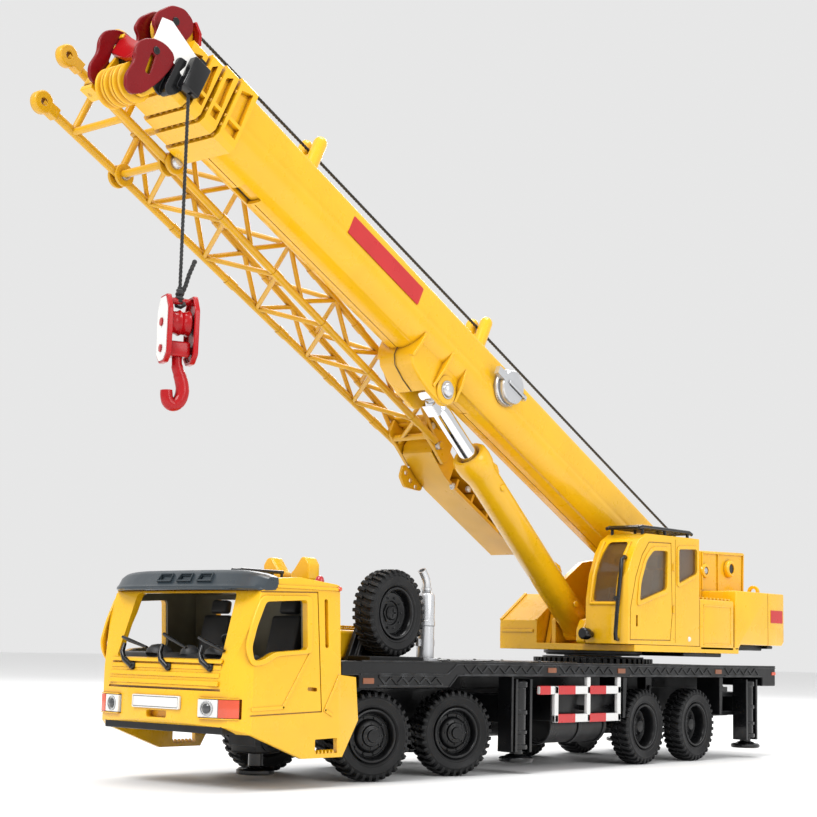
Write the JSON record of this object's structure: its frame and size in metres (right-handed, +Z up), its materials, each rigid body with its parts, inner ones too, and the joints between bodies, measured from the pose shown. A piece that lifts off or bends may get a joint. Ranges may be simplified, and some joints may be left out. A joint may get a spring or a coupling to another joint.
{
  "type": "toy crane truck",
  "caption": "Die-cast toy truck with a slewing telescopic crane, stowed lattice jib, luffing cylinder, outriggers and a hook block on a rope.",
  "frame": {"origin": "on the ground under the middle of the overall box at rest", "axes": "+X forward to the truck's cab, +Y to the truck's left, +Z up"},
  "size_m": [0.2854, 0.058, 0.1853],
  "materials": {
    "carrier_yellow": "glossy yellow enamel on die-cast zinc, warm golden yellow",
    "boom_yellow": "glossy yellow enamel on the crane and the boom",
    "jib_yellow": "satin yellow on the thin lattice",
    "chassis_black": "satin black plastic frame and deck",
    "outrigger_black": "glossy black plastic beams and jacks",
    "visor_slate": "dark slate-blue moulded plastic",
    "cab_interior_grey": "dark grey moulded interior",
    "lamp_clear": "clear and white lamp plastic",
    "guard_white": "white plastic guard with red bands",
    "exhaust_silver": "bright silver paint",
    "rim_grey": "dark grey wheel plastic",
    "tyre_rubber": "dark grey rubber with square lugs",
    "cab_glass": "brown tinted clear plastic",
    "winch_dark": "dark grey drum with black rope on it",
    "rod_chrome": "polished chrome rod",
    "head_red": "dark red enamel",
    "sheave_yellow": "orange-yellow moulded sheaves",
    "hook_red": "bright red enamel",
    "rope_black": "thin twisted black cord"
  },
  "bodies": {
    "carrier": {"chassis_frame": "chassis_black", "deck": "chassis_black", "cab_shell": "carrier_yellow", "cab_visor": "visor_slate", "cab_interior": "cab_interior_grey", "headlamps": "lamp_clear", "boom_rest": "carrier_yellow", "engine_cover": "carrier_yellow", "exhaust": "exhaust_silver", "spare_bracket": "chassis_black", "spare_wheel": "tyre_rubber", "side_guards": "guard_white", "slew_ring": "chassis_black"},
    "turntable": {"turntable_frame": "boom_yellow", "crane_cab": "boom_yellow", "crane_cab_glass": "cab_glass", "machine_housing": "boom_yellow", "counterweight": "boom_yellow"},
    "winch": {"winch_drum": "winch_dark"},
    "cylinder_barrel": {"luff_barrel": "boom_yellow"},
    "cylinder_rod": {"luff_rod": "rod_chrome"},
    "boom": {"boom_base": "boom_yellow", "rope_guides": "boom_yellow", "rope_run": "rope_black"},
    "section_2": {"boom_section_2": "boom_yellow"},
    "section_3": {"boom_section_3": "boom_yellow"},
    "boom_head": {"boom_section_4": "boom_yellow", "head_cheeks": "head_red"},
    "lower_sheaves": {"head_sheaves": "sheave_yellow"},
    "upper_sheave": {"top_sheave": "sheave_yellow"},
    "hook_hanger": {"hoist_rope": "rope_black", "hook_block": "hook_red"},
    "hook_body": {"hook": "hook_red"},
    "jib": {"jib_truss": "jib_yellow"},
    "jib_end": {"jib_tip": "jib_yellow"},
    "steer_left_1": {"knuckle_left_1": "rim_grey"},
    "wheel_left_1": {"tyre_left_1": "tyre_rubber", "rim_left_1": "rim_grey"},
    "steer_left_2": {"knuckle_left_2": "rim_grey"},
    "wheel_left_2": {"tyre_left_2": "tyre_rubber", "rim_left_2": "rim_grey"},
    "steer_right_1": {"knuckle_right_1": "rim_grey"},
    "wheel_right_1": {"tyre_right_1": "tyre_rubber", "rim_right_1": "rim_grey"},
    "steer_right_2": {"knuckle_right_2": "rim_grey"},
    "wheel_right_2": {"tyre_right_2": "tyre_rubber", "rim_right_2": "rim_grey"},
    "rear_wheels_1": {"tyres_rear_1": "tyre_rubber", "wheelset_rear_1": "rim_grey"},
    "rear_wheels_2": {"tyres_rear_2": "tyre_rubber", "wheelset_rear_2": "rim_grey"},
    "outrigger_front_left": {"beam_front_left": "outrigger_black"},
    "foot_front_left": {"jack_front_left": "outrigger_black"},
    "outrigger_front_right": {"beam_front_right": "outrigger_black"},
    "foot_front_right": {"jack_front_right": "outrigger_black"},
    "outrigger_rear_left": {"beam_rear_left": "outrigger_black"},
    "foot_rear_left": {"jack_rear_left": "outrigger_black"},
    "outrigger_rear_right": {"beam_rear_right": "outrigger_black"},
    "foot_rear_right": {"jack_rear_right": "outrigger_black"},
    "foot_centre": {"jack_centre": "outrigger_black"}
  },
  "joints": [
    {"name": "slew", "type": "hinge", "parent": "carrier", "child": "turntable", "pos_m": [-0.06287, 0.0022, 0.031], "axis": [0, 0, 1], "continuous": true},
    {"name": "luff", "type": "hinge", "parent": "turntable", "child": "boom", "pos_m": [-0.09887, 0.0022, 0.0584], "axis": [0, -1, 0], "range_deg": [-6, 26], "deforming": ["rope_run"]},
    {"name": "winch_spin", "type": "hinge", "parent": "turntable", "child": "winch", "pos_m": [-0.12687, 0.0022, 0.062], "axis": [0, 1, 0], "continuous": true},
    {"name": "cylinder_tilt", "type": "hinge", "parent": "turntable", "child": "cylinder_barrel", "pos_m": [-0.05537, 0.0022, 0.0396], "axis": [0, -1, 0], "range_deg": [-6.7, 29]},
    {"name": "cylinder_stroke", "type": "slide", "parent": "cylinder_barrel", "child": "cylinder_rod", "axis": [0.764, 0, 0.6453], "range_m": [-0.0048, 0.0206]},
    {"name": "extend_2", "type": "slide", "parent": "boom", "child": "section_2", "axis": [0.8973, 0, 0.4415], "range_m": [0, 0.055]},
    {"name": "extend_3", "type": "slide", "parent": "section_2", "child": "section_3", "axis": [0.8973, 0, 0.4415], "range_m": [0, 0.055]},
    {"name": "extend_4", "type": "slide", "parent": "section_3", "child": "boom_head", "axis": [0.8973, 0, 0.4415], "range_m": [0, 0.055]},
    {"name": "lower_sheave_spin", "type": "hinge", "parent": "boom_head", "child": "lower_sheaves", "pos_m": [0.13707, 0.0022, 0.16168], "axis": [0, 1, 0], "continuous": true},
    {"name": "upper_sheave_spin", "type": "hinge", "parent": "boom_head", "child": "upper_sheave", "pos_m": [0.12269, 0.0022, 0.1789], "axis": [0, 1, 0], "continuous": true},
    {"name": "rope_plumb", "type": "hinge", "parent": "boom_head", "child": "hook_hanger", "pos_m": [0.12464, 0.0113, 0.16113], "axis": [0, 1, 0], "range_deg": [-6, 26]},
    {"name": "hook_swivel", "type": "hinge", "parent": "hook_hanger", "child": "hook_body", "pos_m": [0.12464, 0.0113, 0.09943], "axis": [0, 0, 1], "continuous": true},
    {"name": "jib_swing", "type": "hinge", "parent": "boom_head", "child": "jib", "pos_m": [0.13391, -0.0078, 0.17038], "axis": [-0.4415, 0, 0.8973], "range_deg": [0, 180]},
    {"name": "jib_fold", "type": "hinge", "parent": "jib", "child": "jib_end", "pos_m": [-0.00009, -0.0178, 0.0923], "axis": [0, -1, 0], "range_deg": [0, 25]},
    {"name": "steer_left_1", "type": "hinge", "parent": "carrier", "child": "steer_left_1", "pos_m": [0.06443, 0.0107, 0.01115], "axis": [0, 0, 1], "range_deg": [-3, 43]},
    {"name": "spin_left_1", "type": "hinge", "parent": "steer_left_1", "child": "wheel_left_1", "pos_m": [0.06443, 0.0202, 0.01115], "axis": [0.342, 0.9397, 0], "continuous": true},
    {"name": "steer_left_2", "type": "hinge", "parent": "carrier", "child": "steer_left_2", "pos_m": [0.03103, 0.0107, 0.01115], "axis": [0, 0, 1], "range_deg": [-3, 43]},
    {"name": "spin_left_2", "type": "hinge", "parent": "steer_left_2", "child": "wheel_left_2", "pos_m": [0.03103, 0.0202, 0.01115], "axis": [0.342, 0.9397, 0], "continuous": true},
    {"name": "steer_right_1", "type": "hinge", "parent": "carrier", "child": "steer_right_1", "pos_m": [0.06443, -0.0063, 0.01115], "axis": [0, 0, 1], "range_deg": [-3, 43]},
    {"name": "spin_right_1", "type": "hinge", "parent": "steer_right_1", "child": "wheel_right_1", "pos_m": [0.06443, -0.0158, 0.01115], "axis": [0.342, 0.9397, 0], "continuous": true},
    {"name": "steer_right_2", "type": "hinge", "parent": "carrier", "child": "steer_right_2", "pos_m": [0.03103, -0.0063, 0.01115], "axis": [0, 0, 1], "range_deg": [-3, 43]},
    {"name": "spin_right_2", "type": "hinge", "parent": "steer_right_2", "child": "wheel_right_2", "pos_m": [0.03103, -0.0158, 0.01115], "axis": [0.342, 0.9397, 0], "continuous": true},
    {"name": "rear_axle_1", "type": "hinge", "parent": "carrier", "child": "rear_wheels_1", "pos_m": [-0.05577, 0.0022, 0.01115], "axis": [0, 1, 0], "continuous": true},
    {"name": "rear_axle_2", "type": "hinge", "parent": "carrier", "child": "rear_wheels_2", "pos_m": [-0.08577, 0.0022, 0.01115], "axis": [0, 1, 0], "continuous": true},
    {"name": "outrigger_front_left_out", "type": "slide", "parent": "carrier", "child": "outrigger_front_left", "axis": [0, 1, 0], "range_m": [0, 0.03]},
    {"name": "jack_front_left_down", "type": "slide", "parent": "outrigger_front_left", "child": "foot_front_left", "axis": [0, 0, 1], "range_m": [-0.0028, 0]},
    {"name": "outrigger_front_right_out", "type": "slide", "parent": "carrier", "child": "outrigger_front_right", "axis": [0, -1, 0], "range_m": [0, 0.03]},
    {"name": "jack_front_right_down", "type": "slide", "parent": "outrigger_front_right", "child": "foot_front_right", "axis": [0, 0, 1], "range_m": [-0.0028, 0]},
    {"name": "outrigger_rear_left_out", "type": "slide", "parent": "carrier", "child": "outrigger_rear_left", "axis": [0, 1, 0], "range_m": [0, 0.03]},
    {"name": "jack_rear_left_down", "type": "slide", "parent": "outrigger_rear_left", "child": "foot_rear_left", "axis": [0, 0, 1], "range_m": [-0.0028, 0]},
    {"name": "outrigger_rear_right_out", "type": "slide", "parent": "carrier", "child": "outrigger_rear_right", "axis": [0, -1, 0], "range_m": [0, 0.03]},
    {"name": "jack_rear_right_down", "type": "slide", "parent": "outrigger_rear_right", "child": "foot_rear_right", "axis": [0, 0, 1], "range_m": [-0.0028, 0]},
    {"name": "jack_centre_down", "type": "slide", "parent": "carrier", "child": "foot_centre", "axis": [0, 0, 1], "range_m": [-0.0012, 0]}
  ],
  "couplings": [
    {"joint": "cylinder_tilt", "follows": "luff", "ratio": 1.114},
    {"joint": "cylinder_stroke", "follows": "luff", "m_per_rad": 0.0453},
    {"joint": "rope_plumb", "follows": "luff", "ratio": 1},
    {"joint": "steer_left_2", "follows": "steer_left_1", "ratio": 1},
    {"joint": "steer_right_1", "follows": "steer_left_1", "ratio": 1},
    {"joint": "steer_right_2", "follows": "steer_left_1", "ratio": 1}
  ]
}
